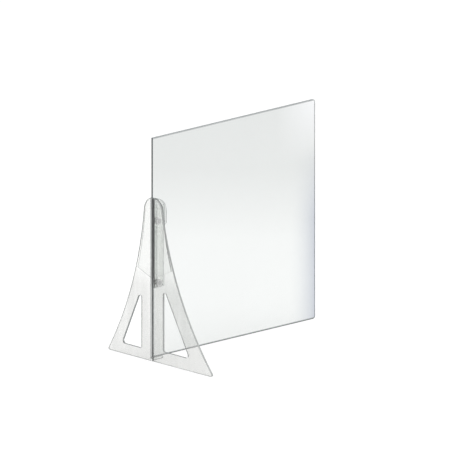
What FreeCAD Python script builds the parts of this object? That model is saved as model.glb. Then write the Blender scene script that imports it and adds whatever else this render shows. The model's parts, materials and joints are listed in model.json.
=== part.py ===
import FreeCAD, Part
import Sketcher
import math
import os

# A sneeze guard: one clear upright sheet, clamped along its held edge by a clear two-winged foot.
# Millimetres. +X runs along the sheet away from the foot, -Y is the front side, +Z is up.
# The origin is on the table, under the middle of the foot.

SIZES = {
    # the upright sheet
    "panel_width": 604.0,
    "panel_height": 614.0,
    "sheet_thickness": 6.0,
    "table_gap": 10.0,
    "free_corner": 9.0,
    "held_corner": 2.0,
    "held_edge_recess": 2.0,
    # the foot's two wings: heights and reaches are measured from the origin
    "slot_gap": 0.4,
    "crown_height": 456.0,
    "crown_radius": 40.0,
    "front_shoulder_reach": 37.5,
    "front_shoulder_height": 433.0,
    "front_toe_reach": 243.0,
    "front_flank_radius": 890.0,
    "rear_shoulder_reach": 30.5,
    "rear_shoulder_height": 422.0,
    "rear_toe_reach": 174.0,
    "rear_flank_radius": 985.0,
    "toe_round": 5.0,
    # the triangular windows
    "front_post_width": 45.0,
    "front_rail_height": 34.0,
    "front_window_reach": 148.5,
    "front_window_top": 216.0,
    "rear_post_width": 40.5,
    "rear_rail_height": 28.5,
    "rear_window_reach": 117.5,
    "rear_window_top": 197.0,
    "window_tip_round": 6.0,
    "window_toe_round": 8.0,
    "window_heel_round": 5.0,
    # the gussets behind the wings
    "gusset_thickness": 3.0,
    "gusset_inset": 0.6,
    "gusset_tail_round": 3.0,
    "chevron_height": 230.0,
    "front_chevron_reach": 74.0,
    "front_chevron_end": 263.0,
    "rear_chevron_reach": 58.0,
    "rear_chevron_end": 251.0,
    # the clamp leaves along the sheet's faces
    "leaf_thickness": 3.5,
    "gasket_thickness": 0.5,
    "leaf_bottom": 204.0,
    "leaf_reach": 41.0,
    "leaf_foot_round": 3.0,
    "ear_reach": 47.0,
    "ear_bottom": 378.0,
    "ear_drop": 3.0,
    "ear_step_round": 2.5,
    "gasket_inset": 2.0,
    "gasket_top": 430.0,
    # the two thumb screws
    "screw_reach": 16.8,
    "upper_screw_height": 391.0,
    "lower_screw_height": 218.0,
    "stud_diameter": 6.0,
    "panel_hole": 10.0,
    "leaf_hole": 6.6,
    "sleeve_bore": 6.3,
    "sleeve_outside": 9.7,
    "washer_outside": 14.0,
    "washer_bore": 6.4,
    "washer_thickness": 1.0,
    "knob_outside": 20.0,
    "knob_height": 7.0,
    "knob_socket_depth": 6.0,
    "knob_edge_round": 1.2,
    "flute_diameter": 3.0,
    "flute_count": 12.0,
    "insert_outside": 9.0,
    "insert_gap": 0.05,
    "insert_bore": 6.1,
    "stud_engagement": 5.2,
    "stud_end_gap": 0.5,
    "stud_chamfer": 0.5,
    "nut_across_flats": 10.0,
    "nut_hex_height": 6.0,
    "nut_dome_radius": 4.6,
    "nut_socket_depth": 7.0,
    # the block under the sheet's held corner
    "block_reach": 39.0,
    "block_half_width": 7.0,
    "block_lift": 3.0,
    "block_end_round": 5.0,
    "pad_thickness": 1.0,
    # polished edges of the cut sheets
    "arris": 0.4,
}

doc = FreeCAD.newDocument("sneeze_guard")


class Size:
    """A length: its number, and the spreadsheet formula that gives it."""

    def __init__(self, number, formula):
        self.number = number
        self.formula = formula

    def __add__(self, other):
        return combine(self, "+", other, self.number + plain(other))

    def __sub__(self, other):
        return combine(self, "-", other, self.number - plain(other))

    def __mul__(self, other):
        return combine(self, "*", other, self.number * plain(other))

    def __truediv__(self, other):
        return combine(self, "/", other, self.number / plain(other))

    def __neg__(self):
        return Size(-self.number, f"(-{self.formula})")


def plain(value):
    return value.number if isinstance(value, Size) else float(value)


def combine(left, sign, right, number):
    right_formula = right.formula if isinstance(right, Size) else f"{float(right)}"
    return Size(number, f"({left.formula} {sign} {right_formula})")


def size(alias):
    return Size(SIZES[alias], f"Sizes.{alias}")


ZERO = Size(0.0, "0")
FULL_TURN = 360

# how close counts as the same: edge ends from rounded corners, face levels, radii, and cut volumes
SAME_PLACE = 0.05
SAME_LEVEL = 1e-3
SAME_RADIUS = 1e-6
ON_AXIS = 1e-9
LEAST_CUT = 1e-3


def fill_sheet():
    sheet = doc.addObject("Spreadsheet::Sheet", "Sizes")
    for row, (alias, number) in enumerate(SIZES.items(), start=1):
        sheet.set(f"A{row}", alias.replace("_", " "))
        sheet.set(f"B{row}", str(number))
        sheet.setAlias(f"B{row}", alias)
    doc.recompute()


# ---------------------------------------------------------------- sketches


def new_body(name):
    body = doc.addObject("PartDesign::Body", name)
    body.Label = name
    return body


def new_sketch(body, role, name, offset=None):
    """A sketch on one of the body's own origin planes, moved along the plane's normal by offset."""
    sketch = body.newObject("Sketcher::SketchObject", name)
    plane = next(item for item in body.Origin.OriginFeatures if item.Role == role)
    sketch.AttachmentSupport = [(plane, "")]
    sketch.MapMode = "FlatFace"
    if offset is not None:
        sketch.AttachmentOffset = FreeCAD.Placement(FreeCAD.Vector(0, 0, offset.number), FreeCAD.Rotation())
        sketch.setExpression("AttachmentOffset.Base.z", offset.formula)
    return sketch


def fix_point(sketch, geometry, end, across, up):
    """Ties a point to the origin by two distances that follow the spreadsheet."""
    for kind, value, axis in (("DistanceX", across, -2), ("DistanceY", up, -1)):
        if abs(value.number) < ON_AXIS:
            sketch.addConstraint(Sketcher.Constraint("PointOnObject", geometry, end, axis))
        else:
            rule = sketch.addConstraint(Sketcher.Constraint(kind, -1, 1, geometry, end, value.number))
            sketch.setExpression(f"Constraints[{rule}]", value.formula)


def arc_between(start, end, radius):
    """The shorter arc from start to end. A positive radius bulges to the right of the way it goes."""
    chord = end - start
    middle = (start + end) * 0.5
    to_left = FreeCAD.Vector(-chord.y, chord.x, 0).normalize()
    turn = math.copysign(1.0, radius)
    rise = math.sqrt(radius**2 - (chord.Length / 2) ** 2)
    top = middle + to_left * turn * (rise - abs(radius))
    return Part.Arc(start, top, end)


def draw_outline(sketch, corners):
    """A closed outline. A corner is (across, up), or (across, up, radius) where an arc leads on from it."""
    points = [FreeCAD.Vector(corner[0].number, corner[1].number, 0) for corner in corners]
    edges = []
    for index, corner in enumerate(corners):
        start = points[index]
        end = points[(index + 1) % len(points)]
        if len(corner) == 3:
            shape = arc_between(start, end, corner[2].number)
            edges.append((sketch.addGeometry(shape, False), corner[2].number > 0))
        else:
            edges.append((sketch.addGeometry(Part.LineSegment(start, end), False), True))
    # an arc of a sketch always runs anticlockwise, so one that bulges left starts at its second point
    ends = [(1, 2) if forward else (2, 1) for _, forward in edges]
    for index, (edge, _) in enumerate(edges):
        following = (index + 1) % len(edges)
        sketch.addConstraint(
            Sketcher.Constraint("Coincident", edge, ends[index][1], edges[following][0], ends[following][0])
        )
    for index, corner in enumerate(corners):
        fix_point(sketch, edges[index][0], ends[index][0], corner[0], corner[1])
        if len(corner) == 3:
            rule = sketch.addConstraint(
                Sketcher.Constraint("Radius", edges[index][0], abs(corner[2].number))
            )
            radius = corner[2] if corner[2].number > 0 else -corner[2]
            sketch.setExpression(f"Constraints[{rule}]", radius.formula)


def draw_circle(sketch, across, up, diameter):
    centre = FreeCAD.Vector(across.number, up.number, 0)
    circle = sketch.addGeometry(Part.Circle(centre, FreeCAD.Vector(0, 0, 1), diameter.number / 2), False)
    fix_point(sketch, circle, 3, across, up)
    rule = sketch.addConstraint(Sketcher.Constraint("Diameter", circle, diameter.number))
    sketch.setExpression(f"Constraints[{rule}]", diameter.formula)


# ---------------------------------------------------------------- features


def pad(body, sketch, length, symmetric=False):
    feature = body.newObject("PartDesign::Pad", sketch.Name + "_pad")
    feature.Profile = sketch
    feature.SideType = "Symmetric" if symmetric else "One side"
    feature.setExpression("Length", length.formula)
    sketch.Visibility = False
    doc.recompute()
    return feature


def cut_through(body, sketch):
    """A pocket through the whole piece, both ways from its sketch, which has to take something away."""
    before = body.Shape.Volume
    feature = body.newObject("PartDesign::Pocket", sketch.Name + "_pocket")
    feature.Profile = sketch
    feature.Type = "ThroughAll"
    feature.SideType = "Symmetric"
    sketch.Visibility = False
    doc.recompute()
    if body.Shape.Volume >= before - LEAST_CUT:
        raise RuntimeError(f"{feature.Name} cut nothing")
    return feature


def edges_through(shape, across_axis, places):
    """Names of the straight edges along an axis that pass through the given places of the other two axes."""
    others = [axis for axis in range(3) if axis != across_axis]
    found = []
    for index, edge in enumerate(shape.Edges, start=1):
        ends = [vertex.Point for vertex in edge.Vertexes]
        if len(ends) != 2:
            continue
        for place in places:
            if all(abs(end[axis] - at) < SAME_PLACE for end in ends for axis, at in zip(others, place)):
                found.append(f"Edge{index}")
    return found


def round_edges(body, name, across_axis, places, radius):
    base = body.Tip
    targets = [(first.number, second.number) for first, second in places]
    names = edges_through(base.Shape, across_axis, targets)
    if len(names) != len(places):
        raise RuntimeError(f"{name}: found {len(names)} of {len(places)} edges to round")
    feature = body.newObject("PartDesign::Fillet", name)
    feature.Base = (base, names)
    feature.setExpression("Radius", radius.formula)
    doc.recompute()
    return feature


def break_edges(body, name, face_axis, levels, width):
    """Chamfers the outlines of the flat faces at the given levels along an axis, but not round holes."""
    base = body.Tip
    names = []
    for index, edge in enumerate(base.Shape.Edges, start=1):
        box = edge.BoundBox
        low = (box.XMin, box.YMin, box.ZMin)[face_axis]
        high = (box.XMax, box.YMax, box.ZMax)[face_axis]
        flat = high - low < SAME_LEVEL
        wanted = any(abs(low - level.number) < SAME_LEVEL for level in levels)
        round_hole = len(edge.Vertexes) == 1
        if flat and wanted and not round_hole:
            names.append(f"Edge{index}")
    feature = body.newObject("PartDesign::Chamfer", name)
    feature.Base = (base, names)
    feature.setExpression("Size", width.formula)
    doc.recompute()
    return feature


# ---------------------------------------------------------------- shared places

X_AXIS, Y_AXIS, Z_AXIS = 0, 1, 2
HALF_SHEET = size("sheet_thickness") / 2
INNER_EDGE = HALF_SHEET + size("slot_gap")
GUSSET_BACK = HALF_SHEET + size("gusset_thickness")
LEAF_INSIDE = HALF_SHEET + size("gasket_thickness")
LEAF_OUTSIDE = LEAF_INSIDE + size("leaf_thickness")
WASHER_OUTSIDE_FACE = LEAF_OUTSIDE + size("washer_thickness")
PANEL_BOTTOM = size("table_gap")
PANEL_TOP = size("table_gap") + size("panel_height")
PANEL_HELD_EDGE = size("held_edge_recess") - HALF_SHEET
PANEL_FREE_EDGE = PANEL_HELD_EDGE + size("panel_width")
EAR_ROUND = size("ear_reach") - GUSSET_BACK
WINDOW_SIZES = ("post_width", "window_reach", "rail_height", "window_top")
SCREW_HEIGHTS = {"upper": size("upper_screw_height"), "lower": size("lower_screw_height")}


# ---------------------------------------------------------------- the sheet


def make_panel():
    body = new_body("guard_panel")
    outline = new_sketch(body, "XZ_Plane", "panel_outline")
    left = PANEL_HELD_EDGE
    right = PANEL_FREE_EDGE
    bottom = PANEL_BOTTOM
    top = PANEL_TOP
    draw_outline(outline, [(left, bottom), (right, bottom), (right, top), (left, top)])
    pad(body, outline, size("sheet_thickness"), symmetric=True)
    holes = new_sketch(body, "XZ_Plane", "panel_holes")
    for height in SCREW_HEIGHTS.values():
        draw_circle(holes, size("screw_reach"), height, size("panel_hole"))
    cut_through(body, holes)
    free = [(right, bottom), (right, top)]
    round_edges(body, "panel_free_corners", Y_AXIS, free, size("free_corner"))
    held = [(left, bottom), (left, top)]
    round_edges(body, "panel_held_corners", Y_AXIS, held, size("held_corner"))
    break_edges(body, "panel_arris", Y_AXIS, [HALF_SHEET, -HALF_SHEET], size("arris"))


# ---------------------------------------------------------------- the foot


def make_wing(name, side, shoulder, toe_reach, flank_radius, window):
    """One half of the foot: side is -1 for the front half and +1 for the rear half."""
    body = new_body(name)
    outline = new_sketch(body, "YZ_Plane", name + "_outline")
    inner = INNER_EDGE * side
    corners = [
        (inner, ZERO),
        (toe_reach * side, ZERO, flank_radius * -side),
        (shoulder[0] * side, shoulder[1], size("crown_radius") * side),
        (inner, size("crown_height")),
    ]
    draw_outline(outline, corners)
    pad(body, outline, size("sheet_thickness"), symmetric=True)
    opening = new_sketch(body, "YZ_Plane", name + "_window")
    post, reach, rail, top = window
    heel = post * side
    draw_outline(opening, [(heel, rail), (reach * side, rail), (heel, top)])
    cut_through(body, opening)
    round_edges(body, name + "_toe", X_AXIS, [(toe_reach * side, ZERO)], size("toe_round"))
    round_edges(body, name + "_window_tip", X_AXIS, [(heel, top)], size("window_tip_round"))
    round_edges(body, name + "_window_toe", X_AXIS, [(reach * side, rail)], size("window_toe_round"))
    round_edges(body, name + "_window_heel", X_AXIS, [(heel, rail)], size("window_heel_round"))
    break_edges(body, name + "_arris", X_AXIS, [HALF_SHEET, -HALF_SHEET], size("arris"))


def make_gusset(name, side, shoulder, chevron, flank_radius):
    """The second layer behind a wing, from the crown down to one arm of a chevron."""
    body = new_body(name)
    outline = new_sketch(body, "YZ_Plane", name + "_outline", offset=HALF_SHEET)
    inner = INNER_EDGE * side
    inset = size("gusset_inset")
    corners = [
        (inner, size("chevron_height")),
        (chevron[0] * side, chevron[1], flank_radius * -side),
        ((shoulder[0] - inset) * side, shoulder[1], (size("crown_radius") - inset) * side),
        (inner, size("crown_height") - inset),
    ]
    draw_outline(outline, corners)
    pad(body, outline, size("gusset_thickness"))
    round_edges(body, name + "_tail", X_AXIS, [(chevron[0] * side, chevron[1])], size("gusset_tail_round"))
    break_edges(body, name + "_arris", X_AXIS, [GUSSET_BACK], size("arris"))


def make_leaf(name, start):
    """A clamp plate along one face of the sheet, with an ear at its top. It starts at -Y = start."""
    body = new_body(name)
    outline = new_sketch(body, "XZ_Plane", name + "_outline", offset=start)
    ear_top = size("crown_height") - size("ear_drop")
    corners = [
        (GUSSET_BACK, size("leaf_bottom")),
        (size("leaf_reach"), size("leaf_bottom")),
        (size("leaf_reach"), size("ear_bottom")),
        (size("ear_reach"), size("ear_bottom")),
        (size("ear_reach"), ear_top - EAR_ROUND, EAR_ROUND),
        (GUSSET_BACK, ear_top),
    ]
    draw_outline(outline, corners)
    pad(body, outline, size("leaf_thickness"))
    holes = new_sketch(body, "XZ_Plane", name + "_holes", offset=start)
    for height in SCREW_HEIGHTS.values():
        draw_circle(holes, size("screw_reach"), height, size("leaf_hole"))
    cut_through(body, holes)
    steps = [(size("leaf_reach"), size("ear_bottom")), (size("ear_reach"), size("ear_bottom"))]
    round_edges(body, name + "_ear_step", Y_AXIS, steps, size("ear_step_round"))
    foot = [(size("leaf_reach"), size("leaf_bottom"))]
    round_edges(body, name + "_foot", Y_AXIS, foot, size("leaf_foot_round"))
    break_edges(body, name + "_arris", Y_AXIS, [-start, -(start + size("leaf_thickness"))], size("arris"))


def make_gasket(name, start):
    """The thin clear pad between a leaf and the sheet."""
    body = new_body(name)
    outline = new_sketch(body, "XZ_Plane", name + "_outline", offset=start)
    inset = size("gasket_inset")
    left = GUSSET_BACK + inset
    right = size("leaf_reach") - inset
    bottom = size("leaf_bottom") + inset
    top = size("gasket_top")
    draw_outline(outline, [(left, bottom), (right, bottom), (right, top), (left, top)])
    pad(body, outline, size("gasket_thickness"))
    holes = new_sketch(body, "XZ_Plane", name + "_holes", offset=start)
    for height in SCREW_HEIGHTS.values():
        draw_circle(holes, size("screw_reach"), height, size("panel_hole"))
    cut_through(body, holes)


def make_tie_block():
    """The block at the foot of the seam: a tongue between the wings and a shoe under the sheet."""
    body = new_body("tie_block")
    top = PANEL_BOTTOM - size("pad_thickness")
    tongue = new_sketch(body, "XY_Plane", "tie_tongue")
    near, far = -HALF_SHEET, HALF_SHEET
    draw_outline(tongue, [(near, -INNER_EDGE), (far, -INNER_EDGE), (far, INNER_EDGE), (near, INNER_EDGE)])
    pad(body, tongue, top)
    shoe = new_sketch(body, "XY_Plane", "tie_shoe", offset=size("block_lift"))
    half = size("block_half_width")
    reach = size("block_reach")
    draw_outline(shoe, [(far, -half), (reach, -half), (reach, half), (far, half)])
    pad(body, shoe, top - size("block_lift"))
    round_edges(body, "tie_shoe_end", Z_AXIS, [(reach, -half), (reach, half)], size("block_end_round"))
    break_edges(body, "tie_shoe_edge", Z_AXIS, [top], size("arris"))


def make_tie_pad():
    body = new_body("tie_pad")
    inset = size("gasket_inset")
    outline = new_sketch(body, "XY_Plane", "tie_pad_outline", offset=PANEL_BOTTOM - size("pad_thickness"))
    near = PANEL_HELD_EDGE + size("held_corner")
    far = size("block_reach") - inset
    draw_outline(outline, [(near, -HALF_SHEET), (far, -HALF_SHEET), (far, HALF_SHEET), (near, HALF_SHEET)])
    pad(body, outline, size("pad_thickness"))


# ---------------------------------------------------------------- the thumb screws
# Each piece is drawn round the Y axis, then placed at its screw. Distances along the screw are -Y.


def place_at_screw(body, height):
    body.setExpression("Placement.Base.x", size("screw_reach").formula)
    body.setExpression("Placement.Base.z", height.formula)


def make_disc(name, start, length, outside, height, bore=None):
    """A round piece on the screw's axis, from start along the screw, with a bore where one is given."""
    body = new_body(name)
    outline = new_sketch(body, "XZ_Plane", name + "_outline", offset=start)
    draw_circle(outline, ZERO, ZERO, outside)
    if bore is not None:
        draw_circle(outline, ZERO, ZERO, bore)
    pad(body, outline, length)
    place_at_screw(body, height)
    return body


def make_stud(name, height):
    start = -(WASHER_OUTSIDE_FACE + size("nut_socket_depth")) + size("stud_end_gap")
    length = WASHER_OUTSIDE_FACE + size("stud_engagement") - start
    body = make_disc(name, start, length, size("stud_diameter"), height)
    base = body.Tip
    feature = body.newObject("PartDesign::Chamfer", name + "_ends")
    feature.Base = (base, circle_names(base.Shape, size("stud_diameter")))
    feature.setExpression("Size", size("stud_chamfer").formula)
    doc.recompute()


def circle_names(shape, diameter):
    """Names of the full circles of one diameter."""
    names = []
    for index, edge in enumerate(shape.Edges, start=1):
        if isinstance(edge.Curve, Part.Circle) and len(edge.Vertexes) == 1:
            if abs(edge.Curve.Radius * 2 - diameter.number) < SAME_RADIUS:
                names.append(f"Edge{index}")
    return names


def make_cap_nut(name, height):
    """A hexagon with a dome over its far end and a blind threaded hole in its near end."""
    body = new_body(name)
    hexagon_end = WASHER_OUTSIDE_FACE + size("nut_hex_height")
    outline = new_sketch(body, "XZ_Plane", name + "_hexagon", offset=-hexagon_end)
    flat = size("nut_across_flats") / 2
    corner = flat / math.cos(math.pi / 6)
    half_side = corner / 2
    ring = [
        (corner, ZERO),
        (half_side, flat),
        (-half_side, flat),
        (-corner, ZERO),
        (-half_side, -flat),
        (half_side, -flat),
    ]
    draw_outline(outline, ring)
    pad(body, outline, size("nut_hex_height"))
    dome = new_sketch(body, "XY_Plane", name + "_dome")
    radius = size("nut_dome_radius")
    draw_outline(dome, [(ZERO, hexagon_end), (radius, hexagon_end, radius), (ZERO, hexagon_end + radius)])
    turn = body.newObject("PartDesign::Revolution", name + "_dome_turn")
    turn.Profile = dome
    turn.ReferenceAxis = (dome, ["V_Axis"])
    turn.Angle = FULL_TURN
    dome.Visibility = False
    doc.recompute()
    socket = new_sketch(body, "XZ_Plane", name + "_socket", offset=-WASHER_OUTSIDE_FACE)
    draw_circle(socket, ZERO, ZERO, size("insert_bore"))
    cut_blind(body, socket, size("nut_socket_depth"), reverse=False)
    place_at_screw(body, height)


def cut_blind(body, sketch, depth, reverse):
    """A pocket of a given depth. A pocket runs against its sketch's normal unless reversed."""
    before = body.Shape.Volume
    feature = body.newObject("PartDesign::Pocket", sketch.Name + "_pocket")
    feature.Profile = sketch
    feature.Type = "Length"
    feature.Reversed = reverse
    feature.setExpression("Length", depth.formula)
    sketch.Visibility = False
    doc.recompute()
    if body.Shape.Volume >= before - LEAST_CUT:
        raise RuntimeError(f"{feature.Name} cut nothing")
    return feature


def make_knob(name, height):
    """A round fluted thumb knob with a blind socket for its threaded insert."""
    body = new_body(name)
    outline = new_sketch(body, "XZ_Plane", name + "_outline", offset=WASHER_OUTSIDE_FACE)
    draw_circle(outline, ZERO, ZERO, size("knob_outside"))
    pad(body, outline, size("knob_height"))
    rims = body.Tip
    edge = body.newObject("PartDesign::Fillet", name + "_rims")
    edge.Base = (rims, circle_names(rims.Shape, size("knob_outside")))
    edge.setExpression("Radius", size("knob_edge_round").formula)
    doc.recompute()
    socket = new_sketch(body, "XZ_Plane", name + "_socket", offset=WASHER_OUTSIDE_FACE)
    draw_circle(socket, ZERO, ZERO, size("insert_outside") + size("insert_gap") * 2)
    cut_blind(body, socket, size("knob_socket_depth"), reverse=True)
    flute = new_sketch(body, "XZ_Plane", name + "_flute", offset=WASHER_OUTSIDE_FACE)
    rim = size("knob_outside") / 2 + size("flute_diameter") / 4
    draw_circle(flute, rim, ZERO, size("flute_diameter"))
    groove = cut_through(body, flute)
    ring = body.newObject("PartDesign::PolarPattern", name + "_flutes")
    ring.Originals = [groove]
    ring.Axis = (flute, ["N_Axis"])
    ring.Angle = FULL_TURN
    ring.setExpression("Occurrences", size("flute_count").formula)
    body.Tip = ring
    doc.recompute()
    place_at_screw(body, height)


def make_screw(level, height):
    """Everything on one screw, from the cap nut at the back to the knob at the front."""
    leaf_gap = LEAF_INSIDE * 2
    make_stud(level + "_stud", height)
    make_disc(level + "_sleeve", -LEAF_INSIDE, leaf_gap, size("sleeve_outside"), height, size("sleeve_bore"))
    washer = (size("washer_thickness"), size("washer_outside"), height, size("washer_bore"))
    make_disc(level + "_rear_washer", -WASHER_OUTSIDE_FACE, *washer)
    make_disc(level + "_washer", LEAF_OUTSIDE, *washer)
    make_cap_nut(level + "_cap_nut", height)
    make_knob(level + "_knob", height)
    insert_length = size("knob_socket_depth") - size("insert_gap")
    insert = (insert_length, size("insert_outside"), height, size("insert_bore"))
    make_disc(level + "_knob_insert", WASHER_OUTSIDE_FACE, *insert)


# ---------------------------------------------------------------- build, check and write


def check_document():
    """Every object has to be sound, and every piece one valid solid, before anything is written."""
    for item in doc.Objects:
        if "Invalid" in item.State or "Error" in item.State:
            raise RuntimeError(f"{item.Name} is {item.State}")
    for piece in pieces():
        shape = piece.Shape
        if shape.isNull() or not shape.isValid() or len(shape.Solids) != 1:
            raise RuntimeError(f"{piece.Label} isn't one valid solid")


def pieces():
    return [item for item in doc.Objects if item.TypeId == "PartDesign::Body"]


def write_pieces():
    os.makedirs("parts", exist_ok=True)
    for piece in pieces():
        piece.Shape.exportStep(f"parts/{piece.Label}.step")
        box = piece.Shape.BoundBox
        print(
            f"{piece.Label:22s} x {box.XMin:7.2f} {box.XMax:7.2f}  y {box.YMin:8.2f} {box.YMax:8.2f}"
            f"  z {box.ZMin:7.2f} {box.ZMax:7.2f}  volume {piece.Shape.Volume:10.1f}"
        )


fill_sheet()
make_panel()

front_shoulder = (size("front_shoulder_reach"), size("front_shoulder_height"))
rear_shoulder = (size("rear_shoulder_reach"), size("rear_shoulder_height"))
front_window = [size("front_" + part) for part in WINDOW_SIZES]
rear_window = [size("rear_" + part) for part in WINDOW_SIZES]
front_flank = size("front_flank_radius")
rear_flank = size("rear_flank_radius")
front_chevron = (size("front_chevron_reach"), size("front_chevron_end"))
rear_chevron = (size("rear_chevron_reach"), size("rear_chevron_end"))

make_wing("front_wing", -1, front_shoulder, size("front_toe_reach"), front_flank, front_window)
make_wing("rear_wing", 1, rear_shoulder, size("rear_toe_reach"), rear_flank, rear_window)
make_gusset("front_gusset", -1, front_shoulder, front_chevron, front_flank)
make_gusset("rear_gusset", 1, rear_shoulder, rear_chevron, rear_flank)
make_leaf("front_leaf", LEAF_INSIDE)
make_leaf("rear_leaf", -LEAF_OUTSIDE)
make_gasket("front_gasket", HALF_SHEET)
make_gasket("rear_gasket", -LEAF_INSIDE)
make_tie_block()
make_tie_pad()
for screw_level, screw_height in SCREW_HEIGHTS.items():
    make_screw(screw_level, screw_height)

doc.recompute()
check_document()
write_pieces()
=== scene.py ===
"""The looks of a clear acrylic sneeze guard: its materials, its threaded hardware and a plain pale studio."""

import json
import math

import bmesh
import bpy
import numpy as np
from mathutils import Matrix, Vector

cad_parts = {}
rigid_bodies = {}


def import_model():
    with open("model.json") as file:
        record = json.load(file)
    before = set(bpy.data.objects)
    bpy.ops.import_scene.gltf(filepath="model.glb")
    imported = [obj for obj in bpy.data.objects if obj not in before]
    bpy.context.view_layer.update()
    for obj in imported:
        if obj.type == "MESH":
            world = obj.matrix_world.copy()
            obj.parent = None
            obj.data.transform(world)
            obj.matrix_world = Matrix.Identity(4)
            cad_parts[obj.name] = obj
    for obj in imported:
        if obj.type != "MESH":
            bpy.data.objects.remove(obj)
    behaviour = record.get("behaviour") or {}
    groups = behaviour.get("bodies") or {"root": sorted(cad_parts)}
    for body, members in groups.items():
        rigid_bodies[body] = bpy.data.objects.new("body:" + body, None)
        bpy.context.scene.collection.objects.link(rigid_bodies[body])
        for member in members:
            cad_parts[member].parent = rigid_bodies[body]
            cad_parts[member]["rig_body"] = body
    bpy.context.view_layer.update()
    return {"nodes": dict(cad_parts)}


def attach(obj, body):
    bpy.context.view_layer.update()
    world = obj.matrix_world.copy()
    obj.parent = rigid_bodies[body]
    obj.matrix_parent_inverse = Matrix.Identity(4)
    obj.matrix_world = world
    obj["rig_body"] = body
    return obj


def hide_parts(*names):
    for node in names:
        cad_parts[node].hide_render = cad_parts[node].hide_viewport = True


MM = 0.001

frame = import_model()
nodes = frame["nodes"]


# ---------------------------------------------------------------- camera

CAMERA_AZIMUTH = -43.29
CAMERA_ELEVATION = 14.79
CAMERA_DISTANCE = 3.0
FIELD_WIDTH = 1.2173
AIM = Vector((0.2702, 0.0, 0.3310))


def direction(azimuth, elevation):
    """The way from the object to a viewer at that azimuth (0 looks along +Y) and height, in degrees."""
    turn = math.radians(azimuth)
    rise = math.radians(elevation)
    return Vector((math.sin(turn) * math.cos(rise), -math.cos(turn) * math.cos(rise), math.sin(rise)))


def make_camera():
    """A camera without perspective, because opposite edges of the sheets are seen parallel."""
    data = bpy.data.cameras.new("camera")
    data.type = "ORTHO"
    data.ortho_scale = FIELD_WIDTH
    data.clip_start = 0.1
    data.clip_end = 20 * CAMERA_DISTANCE
    camera = bpy.data.objects.new("camera", data)
    bpy.context.scene.collection.objects.link(camera)
    back = direction(CAMERA_AZIMUTH, CAMERA_ELEVATION)
    camera.rotation_mode = "QUATERNION"
    camera.location = AIM + back * CAMERA_DISTANCE
    camera.rotation_quaternion = (-back).to_track_quat("-Z", "Y")
    bpy.context.scene.camera = camera


# ---------------------------------------------------------------- node helpers

class Nodes:
    """Builds one material's node tree."""

    def __init__(self, name):
        self.material = bpy.data.materials.new(name)
        self.material.use_nodes = True
        self.tree = self.material.node_tree
        self.tree.nodes.clear()
        self.output = self.tree.nodes.new("ShaderNodeOutputMaterial")
        self.place = self.tree.nodes.new("ShaderNodeTexCoord").outputs["Object"]

    def add(self, kind, values=None, links=None, **settings):
        node = self.tree.nodes.new(kind)
        for name, value in settings.items():
            setattr(node, name, value)
        for name, value in (values or {}).items():
            node.inputs[name].default_value = value
        for name, source in (links or {}).items():
            self.tree.links.new(source, node.inputs[name])
        return node

    def where(self, axis):
        """How far along X, Y or Z a point is, in metres."""
        return self.add("ShaderNodeSeparateXYZ", links={0: self.place}).outputs[axis]

    def noise(self, scale, detail=3.0, stretch=(1, 1, 1), roughness=0.5):
        """Noise of that many lumps to the metre, stretched along the axes."""
        place = self.add("ShaderNodeMapping", {"Scale": stretch}, {"Vector": self.place})
        return self.add(
            "ShaderNodeTexNoise",
            {"Scale": scale, "Detail": detail, "Roughness": roughness},
            {"Vector": place.outputs[0]},
        ).outputs["Fac"]

    def spread(self, source, low, high, start=0.3, end=0.7):
        """source, from start to end, taken to the range from low to high."""
        return self.add(
            "ShaderNodeMapRange",
            {"From Min": start, "From Max": end, "To Min": low, "To Max": high},
            {"Value": source},
        ).outputs[0]

    def blend(self, share, low, high):
        """A colour between two, by share."""
        ramp = self.add("ShaderNodeValToRGB", links={"Fac": share})
        ramp.color_ramp.elements[0].color = (*low, 1)
        ramp.color_ramp.elements[1].color = (*high, 1)
        return ramp.outputs[0]

    def mix(self, share, first, second):
        """Two colours, mixed by share."""
        node = self.add("ShaderNodeMix", data_type="RGBA")
        for socket, source in ((0, share), (6, first), (7, second)):
            self.tree.links.new(source, node.inputs[socket])
        return node.outputs[2]

    def total(self, *sources):
        result = sources[0]
        for source in sources[1:]:
            result = self.add("ShaderNodeMath", operation="ADD", links={0: result, 1: source}).outputs[0]
        return result

    def product(self, first, second):
        return self.add("ShaderNodeMath", operation="MULTIPLY", links={0: first, 1: second}).outputs[0]

    def bump(self, height, distance, strength=1.0):
        return self.add(
            "ShaderNodeBump", {"Distance": distance, "Strength": strength}, {"Height": height}
        ).outputs[0]

    def surface(self, values, links):
        body = self.add("ShaderNodeBsdfPrincipled", values, links)
        self.tree.links.new(body.outputs[0], self.output.inputs["Surface"])
        return self.material

    def absorb(self, colour, density):
        depth = self.add("ShaderNodeVolumeAbsorption", {"Color": (*colour, 1), "Density": density})
        self.tree.links.new(depth.outputs[0], self.output.inputs["Volume"])


# ---------------------------------------------------------------- materials

ACRYLIC_IOR = 1.49
WETTED_IOR = 1.08
ABSORBED = (0.2, 0.42, 0.34)
ABSORBED_DENSITY = 2.4
TINT_FADE = 0.03
SEAM_SHADE = 6.6 * MM
SEAM_FADE = 0.6 * MM
SHEET_BOTTOM = 10 * MM
SHEET_TOP = 624 * MM
FOOT_TOP = 456 * MM
CLAMP_BOTTOM = 204 * MM
SCREW_REACH = 16.8 * MM
SCREW_HEIGHTS = {"upper_": 391 * MM, "lower_": 218 * MM}
DISH_RADIUS = 6.8 * MM
DISH_EDGE = 0.7 * MM
DISH_DEPTH = 0.4 * MM
SATIN = ((0.96, 0.97, 0.97), (1.0, 1.0, 1.0))
# Painted shade for the knob's dished middle.
DISH_SHADE = ((0.6, 0.61, 0.61), (0.72, 0.73, 0.73))


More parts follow.
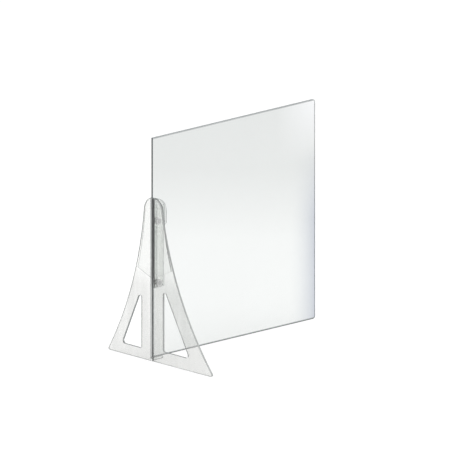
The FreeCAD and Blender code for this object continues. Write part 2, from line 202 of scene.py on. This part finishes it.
def clear_sheet():
    """Cast acrylic: a faint grey-green tint, slow ripples and a few wiped smears.
    It is darker towards its top, a painted shade; bluer low along its free side, a painted reflection; and
    lighter in its top free corner, a painted light. Painted dark lines, for the dark bands of its polished
    edges, run just inside its long edges."""
    m = Nodes("clear_sheet")
    smear = m.noise(3.0, 4.0, (1, 1, 2.5))
    ripple = m.noise(6.0, 1.0)
    # Painted shade: the sheet is darker above a line that rises towards its free side.
    rising = m.total(m.where("Z"), m.spread(m.where("X"), 0.0, 0.11, 0.0, 0.6))
    upper = m.spread(rising, 0.0, 1.0, 0.34, 0.54)
    # Painted reflection: a blue tint low along the free side.
    near_side = m.spread(m.where("X"), 0.0, 1.0, 0.5, 0.61)
    painted_reflection_share = m.product(m.product(near_side, near_side), m.spread(m.where("Z"), 1.0, 0.0, 0.3, 0.5))
    # Painted light: a lighter patch in the top free corner.
    near_top = m.spread(m.where("Z"), 0.0, 1.0, 0.46, 0.62)
    painted_light_corner = m.product(m.spread(m.where("X"), 0.0, 1.0, 0.46, 0.61), near_top)
    tint = m.blend(m.noise(4.0), (0.825, 0.838, 0.83), (0.85, 0.864, 0.858))
    tint = m.mix(upper, tint, m.blend(m.noise(5.0), (0.725, 0.74, 0.735), (0.745, 0.76, 0.752)))
    tint = m.mix(painted_reflection_share, tint, m.blend(m.noise(7.0), (0.46, 0.49, 0.56), (0.54, 0.57, 0.63)))
    tint = m.mix(painted_light_corner, tint, m.blend(smear, (0.88, 0.89, 0.91), (0.94, 0.94, 0.95)))
    # Painted shade: dark lines just inside the top and bottom edges, for the dark bands that the polished
    # edges show.
    rim = m.noise(12.0, 2.0)
    painted_top_line = m.spread(m.where("Z"), 0.0, 1.0, SHEET_TOP - 4.2 * MM, SHEET_TOP - 3.2 * MM)
    tint = m.mix(painted_top_line, tint, m.blend(rim, (0.32, 0.34, 0.34), (0.54, 0.56, 0.56)))
    painted_bottom_line = m.spread(m.where("Z"), 1.0, 0.0, SHEET_BOTTOM + 2.8 * MM, SHEET_BOTTOM + 3.8 * MM)
    tint = m.mix(painted_bottom_line, tint, m.blend(rim, (0.2, 0.22, 0.22), (0.36, 0.38, 0.38)))
    m.absorb(ABSORBED, ABSORBED_DENSITY)
    return m.surface(
        {"IOR": ACRYLIC_IOR, "Transmission Weight": 1.0},
        {
            "Base Color": tint,
            "Roughness": m.spread(smear, 0.0, 0.02),
            "Normal": m.bump(ripple, 0.02 * MM),
        },
    )


def clear_foot(name, base_tints, upper_tints, haze, tint_top=None, lined=False):
    """Acrylic that is handled often: fine upright rub marks make it a little cloudy.
    Given a top height, it is tinted darker below that height and clearer above it, and has painted shade
    beside the seam on the front side. A lined one has thin upright scratches as well."""
    m = Nodes(name)
    streak = m.noise(9.0, 5.0, (11, 11, 0.4), 0.6)
    cloud = m.noise(14.0, 3.0)
    marks = m.total(m.spread(streak, 0.0, 0.75, 0.36, 0.64), m.spread(cloud, 0.0, 0.25))
    tint = m.blend(marks, *base_tints)
    if tint_top is not None:
        share = m.spread(m.where("Z"), 0.0, 1.0, tint_top - TINT_FADE, tint_top + TINT_FADE)
        tint = m.mix(share, tint, m.blend(marks, *upper_tints))
        # Painted shade: a dark band on the front half, beside the seam.
        to_seam = m.spread(m.where("Y"), 0.0, 1.0, -SEAM_SHADE, -SEAM_SHADE + SEAM_FADE)
        front_half = m.spread(m.where("Y"), 1.0, 0.0, -0.5 * MM, 0.5 * MM)
        shade = m.blend(cloud, (0.08, 0.09, 0.09), (0.2, 0.21, 0.21))
        tint = m.mix(m.product(to_seam, front_half), tint, shade)
    if lined:
        line = m.spread(m.noise(9.0, 1.0, (20, 20, 0.12)), 0.0, 1.0, 0.53, 0.6)
        tint = m.mix(line, tint, m.blend(cloud, (0.62, 0.64, 0.63), (0.72, 0.74, 0.73)))
    m.absorb(ABSORBED, ABSORBED_DENSITY)
    return m.surface(
        {"IOR": ACRYLIC_IOR},
        {
            "Base Color": tint,
            "Transmission Weight": m.spread(marks, 1.0, 1.0 - haze, 0.0, 1.0),
            "Roughness": m.spread(marks, 0.0, 0.07, 0.0, 1.0),
            "Normal": m.bump(streak, 0.01 * MM),
        },
    )


def cut_edge(name, low, high, clearness):
    """The milled and flame-polished edge of a sheet, with faint cutter marks across it. Each copy is painted
    a darker or paler grey for the way its faces look: painted shade and painted light for the dark and bright
    bands of a clear edge.
    """
    m = Nodes(name)
    chatter = m.noise(60.0, 3.0, (3, 3, 3))
    m.absorb(ABSORBED, ABSORBED_DENSITY)
    return m.surface(
        {"IOR": ACRYLIC_IOR, "Transmission Weight": clearness},
        {
            "Base Color": m.blend(chatter, low, high),
            "Roughness": m.spread(chatter, 0.1, 0.28),
            "Normal": m.bump(chatter, 0.02 * MM),
        },
    )


def held_edge_finish():
    """The sheet's held edge: polished above the foot, where its grey is painted shade, and more and more matt
    and pale down inside it, with a line of painted dark shade along its front half."""
    m = Nodes("held_edge")
    chatter = m.noise(60.0, 3.0, (3, 3, 3))
    height = m.where("Z")
    in_foot = m.spread(height, 1.0, 0.0, FOOT_TOP - 2 * MM, FOOT_TOP)
    # Painted shade: the polished edge above the foot is grey.
    shaded_above_foot = m.blend(chatter, (0.40, 0.44, 0.45), (0.52, 0.56, 0.57))
    clear_part = m.total(
        m.spread(height, 0.2, 0.55, CLAMP_BOTTOM - 10 * MM, CLAMP_BOTTOM + 40 * MM),
        m.spread(height, 0.0, 0.25, FOOT_TOP - 2 * MM, FOOT_TOP),
    )
    front_half = m.product(in_foot, m.spread(m.where("Y"), 1.0, 0.0, -0.3 * MM, 0.3 * MM))
    tint = m.mix(in_foot, shaded_above_foot, m.blend(chatter, (0.88, 0.9, 0.89), (0.98, 1.0, 0.99)))
    # Painted shade: a dark line on the front half of the edge inside the foot.
    painted_seam_shade = m.blend(chatter, (0.03, 0.035, 0.035), (0.1, 0.11, 0.11))
    m.absorb(ABSORBED, ABSORBED_DENSITY)
    return m.surface(
        {"IOR": ACRYLIC_IOR},
        {
            "Base Color": m.mix(front_half, tint, painted_seam_shade),
            "Transmission Weight": clear_part,
            "Roughness": m.spread(chatter, 0.1, 0.28),
            "Normal": m.bump(chatter, 0.02 * MM),
        },
    )


def shaded_joint():
    """Painted shade: the dark line where a sheet's end lies against the next sheet in a tight slot, with
    small upright streaks in it.
    """
    m = Nodes("shaded_joint")
    run = m.noise(30.0, 4.0, (4, 4, 0.5))
    return m.surface(
        {"Specular IOR Level": 0.0},
        {
            "Base Color": m.blend(run, (0.01, 0.012, 0.012), (0.07, 0.075, 0.075)),
            "Roughness": m.spread(run, 0.4, 0.7),
        },
    )


def silicone():
    """Clear silicone rubber with a soft grained skin. It wets the sheets it touches, so it reflects little,
    which its low refractive index imitates."""
    m = Nodes("clear_pad")
    grain = m.noise(400.0, 2.0)
    return m.surface(
        {"IOR": WETTED_IOR, "Transmission Weight": 1.0},
        {
            "Base Color": m.blend(m.noise(80.0), (0.94, 0.95, 0.94), (0.98, 0.98, 0.97)),
            "Roughness": m.spread(grain, 0.03, 0.1),
            "Normal": m.bump(grain, 0.02 * MM),
        },
    )


def nylon():
    """Natural white nylon, slightly see-through at its edges."""
    m = Nodes("white_nylon")
    grain = m.noise(900.0, 2.0)
    return m.surface(
        {"IOR": 1.53, "Subsurface Weight": 0.3, "Subsurface Scale": 0.002},
        {
            "Base Color": m.blend(m.noise(200.0), (0.78, 0.78, 0.75), (0.85, 0.85, 0.82)),
            "Roughness": m.spread(grain, 0.35, 0.5),
            "Normal": m.bump(grain, 0.01 * MM),
        },
    )


def frosted_knob(name, screw_height):
    """Moulded clear knob with a satin skin, and a shallow dished middle on its face, painted a darker grey
    than its rim as painted shade, so that the rim reads as a bright highlight.
    """
    m = Nodes(name)
    grain = m.noise(700.0, 3.0)
    flow = m.noise(120.0, 2.0)
    to_axis = m.add(
        "ShaderNodeCombineXYZ",
        links={
            0: m.spread(m.where("X"), -1.0, 1.0, SCREW_REACH - 1.0, SCREW_REACH + 1.0),
            1: m.spread(m.where("Z"), -1.0, 1.0, screw_height - 1.0, screw_height + 1.0),
        },
    ).outputs[0]
    radius = m.add("ShaderNodeVectorMath", links={0: to_axis}, operation="LENGTH").outputs["Value"]
    dish = m.spread(radius, 0.0, 1.0, DISH_RADIUS - DISH_EDGE, DISH_RADIUS)
    grain_bump = m.bump(grain, 0.02 * MM)
    dished = m.add(
        "ShaderNodeBump", {"Distance": DISH_DEPTH, "Strength": 1.0}, {"Height": dish, "Normal": grain_bump}
    ).outputs[0]
    return m.surface(
        {"IOR": ACRYLIC_IOR, "Transmission Weight": 0.3},
        {
            "Base Color": m.mix(dish, m.blend(flow, *DISH_SHADE), m.blend(flow, *SATIN)),
            "Roughness": m.spread(grain, 0.05, 0.16),
            "Normal": dished,
        },
    )


def stainless():
    """Turned stainless steel with fine lathe marks and a few darker patches."""
    m = Nodes("stainless_steel")
    turning = m.noise(500.0, 2.0, (0.2, 6, 0.2))
    patch = m.noise(150.0, 3.0)
    return m.surface(
        {"Metallic": 1.0},
        {
            "Base Color": m.blend(patch, (0.7, 0.7, 0.7), (0.88, 0.87, 0.86)),
            "Roughness": m.spread(turning, 0.18, 0.36),
            "Normal": m.bump(turning, 0.01 * MM),
        },
    )


# ---------------------------------------------------------------- finished pieces

AIR_GAP = 0.03 * MM
SMOOTH_ANGLE = math.radians(28)
BROAD = 0.9
SAME_FACING = 0.95
TO_FOOT = Vector((-1, 0, 0))
TO_REAR = Vector((0, 1, 0))
TO_FRONT = Vector((0, -1, 0))
UP = Vector((0, 0, 1))
UNDER_SLANT = Vector((0, 0.87, -0.49))
ALONG_X, ALONG_Y = 0, 1
SLIVER = 1e-12
SAME_WAY = 0.05


def inward(vertex):
    """The move that brings every face round a vertex in by the air gap."""
    normals = np.array([f.normal for f in vertex.link_faces if f.calc_area() > SLIVER])
    if not len(normals):
        return Vector((0, 0, 0))
    return Vector(np.linalg.pinv(normals, rcond=SAME_WAY) @ np.full(len(normals), -AIR_GAP))


def finish_piece(name, face, edge=None, broad=None, others=()):
    """A copy of a CAD piece, a hair smaller all round, so that it shares no face with a clear neighbour.
    Faces that don't look along the broad axis take the edge material, or another material where one is
    given for the way they look."""
    cad = nodes[name]
    corners = [v.co for v in cad.data.vertices]
    faces = [tuple(f.vertices) for f in cad.data.polygons]
    mesh = bpy.data.meshes.new(name + "_finished")
    mesh.from_pydata(corners, [], faces)
    mesh.materials.append(face)
    if edge is not None:
        mesh.materials.append(edge)
    for material, way in others:
        mesh.materials.append(material)
    shape = bmesh.new()
    shape.from_mesh(mesh)
    bmesh.ops.remove_doubles(shape, verts=shape.verts, dist=0.0005 * MM)
    shape.normal_update()
    moves = [inward(v) for v in shape.verts]
    for v, move in zip(shape.verts, moves):
        v.co += move
    shape.normal_update()
    for f in shape.faces:
        f.material_index = 0
        if edge is not None and abs(f.normal[broad]) < BROAD:
            f.material_index = 1
        for index, (material, way) in enumerate(others, start=2):
            if f.normal.dot(way) > SAME_FACING:
                f.material_index = index
    shape.to_mesh(mesh)
    shape.free()
    mesh.shade_smooth()
    mesh.set_sharp_from_angle(angle=SMOOTH_ANGLE)
    return hang(name, mesh)


def hang(name, mesh):
    """Puts a finished mesh in the place of its CAD piece."""
    piece = bpy.data.objects.new(name + "_finished", mesh)
    bpy.context.scene.collection.objects.link(piece)
    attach(piece, nodes[name]["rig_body"])
    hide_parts(name)
    return piece


THREAD_PITCH = 1.0 * MM
THREAD_DEPTH = 0.55 * MM
THREAD_STEPS = 8
THREAD_SIDES = 32
THREAD_LEAD = 0.6 * MM


def threaded_stud(name, material):
    """A stud with a real helical thread, as long and as thick as the CAD stud."""
    points = np.array([v.co[:] for v in nodes[name].data.vertices])
    low, high = points.min(axis=0), points.max(axis=0)
    middle = (low + high) / 2
    outside = (high[0] - low[0]) / 2
    rows = int(round((high[1] - low[1]) / THREAD_PITCH * THREAD_STEPS))
    corners = []
    for row in range(rows + 1):
        along = low[1] + (high[1] - low[1]) * row / rows
        from_end = min(along - low[1], high[1] - along)
        lead = min(1.0, from_end / THREAD_LEAD)
        for side in range(THREAD_SIDES):
            turn = side / THREAD_SIDES
            phase = (along / THREAD_PITCH - turn) % 1.0
            radius = outside - THREAD_DEPTH * abs(2 * phase - 1)
            radius = min(radius, outside - THREAD_DEPTH * (1 - lead))
            angle = 2 * math.pi * turn
            corners.append(
                (middle[0] + radius * math.cos(angle), along, middle[2] + radius * math.sin(angle))
            )
    faces = []
    for row in range(rows):
        for side in range(THREAD_SIDES):
            here = row * THREAD_SIDES + side
            beside = row * THREAD_SIDES + (side + 1) % THREAD_SIDES
            faces.append((here, here + THREAD_SIDES, beside + THREAD_SIDES, beside))
    faces.append(tuple(range(THREAD_SIDES)))
    faces.append(tuple(reversed(range(rows * THREAD_SIDES, (rows + 1) * THREAD_SIDES))))
    mesh = bpy.data.meshes.new(name + "_threaded")
    mesh.from_pydata(corners, [], faces)
    mesh.materials.append(material)
    shape = bmesh.new()
    shape.from_mesh(mesh)
    bmesh.ops.recalc_face_normals(shape, faces=shape.faces)
    shape.to_mesh(mesh)
    shape.free()
    mesh.shade_smooth()
    mesh.set_sharp_from_angle(angle=SMOOTH_ANGLE)
    return hang(name, mesh)


def give(material, *names):
    for name in names:
        piece = nodes[name]
        piece.data.materials.clear()
        piece.data.materials.append(material)


sheet_face = clear_sheet()
held_edge = held_edge_finish()
# Painted shade and painted light: these edge copies differ in grey by the way their faces look.
shaded_sheet_edge = cut_edge("shaded_sheet_edge", (0.18, 0.21, 0.22), (0.3, 0.33, 0.34), 0.45)
long_edge = cut_edge("long_edge", (0.5, 0.52, 0.53), (0.68, 0.7, 0.71), 0.6)
lower_foot_tint = ((0.72, 0.72, 0.71), (0.89, 0.89, 0.88))
upper_foot_tint = ((0.9, 0.9, 0.89), (1.0, 1.0, 0.99))
foot_face = clear_foot("clear_foot", lower_foot_tint, upper_foot_tint, 0.1, 0.235)
front_edge = cut_edge("front_edge", (0.74, 0.76, 0.75), (0.86, 0.88, 0.87), 0.6)
shaded_rear_edge = cut_edge("shaded_rear_edge", (0.3, 0.32, 0.32), (0.42, 0.44, 0.44), 0.5)
shaded_sill_edge = cut_edge("shaded_sill_edge", (0.12, 0.14, 0.14), (0.22, 0.24, 0.24), 0.4)
lit_inner_edge = cut_edge("lit_inner_edge", (0.86, 0.88, 0.87), (0.96, 0.98, 0.97), 0.35)
clean_gusset = ((0.95, 0.96, 0.95), (0.99, 0.99, 0.99))
gusset_face = clear_foot("clear_gusset", clean_gusset, clean_gusset, 0.03)
gusset_edge = cut_edge("gusset_edge", (0.92, 0.94, 0.93), (0.98, 1.0, 0.99), 0.95)
clean_clamp = ((0.93, 0.94, 0.93), (1.0, 1.0, 1.0))
clamp_face = clear_foot("clear_clamp", clean_clamp, clean_clamp, 0.03, lined=True)
shaded_clamp_edge = cut_edge("shaded_clamp_edge", (0.28, 0.3, 0.3), (0.44, 0.46, 0.46), 0.5)
# Painted shade for faces that lie against the sheet or the foot in a tight slot.
joint_shade = shaded_joint()
pad = silicone()
white = nylon()
steel = stainless()

panel_ways = [(held_edge, TO_FOOT), (long_edge, UP), (long_edge, -UP)]
finish_piece("guard_panel", sheet_face, shaded_sheet_edge, ALONG_Y, panel_ways)
front_ways = [(joint_shade, TO_REAR), (shaded_sill_edge, UP), (shaded_sill_edge, UNDER_SLANT)]
finish_piece("front_wing", foot_face, front_edge, ALONG_X, front_ways)
rear_ways = [(lit_inner_edge, TO_FRONT), (shaded_sill_edge, UP)]
finish_piece("rear_wing", foot_face, shaded_rear_edge, ALONG_X, rear_ways)
finish_piece("front_gusset", gusset_face, gusset_edge, ALONG_X, [(joint_shade, TO_REAR)])
finish_piece("rear_gusset", gusset_face, gusset_edge, ALONG_X)
for name in ("front_leaf", "rear_leaf"):
    finish_piece(name, clamp_face, shaded_clamp_edge, ALONG_Y, [(joint_shade, TO_FOOT)])
finish_piece("tie_block", clamp_face)
for name in ("front_gasket", "rear_gasket", "tie_pad"):
    finish_piece(name, pad)
for level, screw_height in SCREW_HEIGHTS.items():
    threaded_stud(level + "stud", steel)
    for part in ("rear_washer", "cap_nut", "knob_insert"):
        give(steel, level + part)
    for part in ("sleeve", "washer"):
        give(white, level + part)
    frosted = frosted_knob(level + "frosted_knob", screw_height)
    finish_piece(level + "knob", frosted)


# ---------------------------------------------------------------- studio

FLOOR_SIZE = 40.0
FLOOR_GAP = 0.3 * MM


def make_floor():
    """A wide pale table top, which runs past the view on every side. Its own light softens the shadows."""
    m = Nodes("studio_floor")
    distance = m.add("ShaderNodeVectorMath", links={0: m.place}, operation="LENGTH").outputs["Value"]
    m.surface(
        {
            "Base Color": (0.2, 0.2, 0.2, 1),
            "Roughness": 0.8,
            "Specular IOR Level": 0.0,
            "Emission Color": (1, 1, 1, 1),
        },
        {"Emission Strength": m.spread(distance, 0.82, 0.84, 0.5, 3.5)},
    )
    mesh = bpy.data.meshes.new("studio_floor")
    half = FLOOR_SIZE / 2
    quarters = ((-1, -1), (1, -1), (1, 1), (-1, 1))
    corners = [(across * half, along * half, -FLOOR_GAP) for across, along in quarters]
    mesh.from_pydata(corners, [], [(0, 1, 2, 3)])
    mesh.materials.append(m.material)
    floor = bpy.data.objects.new("studio_floor", mesh)
    bpy.context.scene.collection.objects.link(floor)


def make_sky():
    """Soft light from all round, brighter from above than from the sides."""
    world = bpy.data.worlds.new("studio")
    world.use_nodes = True
    tree = world.node_tree
    tree.nodes.clear()
    output = tree.nodes.new("ShaderNodeOutputWorld")
    place = tree.nodes.new("ShaderNodeTexCoord")
    split = tree.nodes.new("ShaderNodeSeparateXYZ")
    tree.links.new(place.outputs["Generated"], split.inputs[0])
    ramp = tree.nodes.new("ShaderNodeValToRGB")
    ramp.color_ramp.elements[0].position = 0.0
    ramp.color_ramp.elements[0].color = (0.23, 0.235, 0.24, 1)
    ramp.color_ramp.elements[1].position = 0.6
    ramp.color_ramp.elements[1].color = (1.1, 1.1, 1.1, 1)
    tree.links.new(split.outputs["Z"], ramp.inputs[0])
    sky = tree.nodes.new("ShaderNodeBackground")
    tree.links.new(ramp.outputs[0], sky.inputs[0])
    tree.links.new(sky.outputs[0], output.inputs["Surface"])
    bpy.context.scene.world = world


def make_lamp(name, place, size, power):
    """A large soft square lamp that shines on the middle of the object."""
    data = bpy.data.lights.new(name, "AREA")
    data.size = size
    data.energy = power
    lamp = bpy.data.objects.new(name, data)
    bpy.context.scene.collection.objects.link(lamp)
    lamp.location = place
    lamp.rotation_mode = "QUATERNION"
    lamp.rotation_quaternion = (AIM - Vector(place)).to_track_quat("-Z", "Y")


make_camera()
make_floor()
make_sky()
make_lamp("overhead_lamp", (0.3, 0.0, 2.6), 2.4, 46)

scene = bpy.context.scene
scene.view_settings.view_transform = "Standard"
scene.cycles.max_bounces = 32
scene.cycles.transmission_bounces = 32
scene.cycles.glossy_bounces = 8
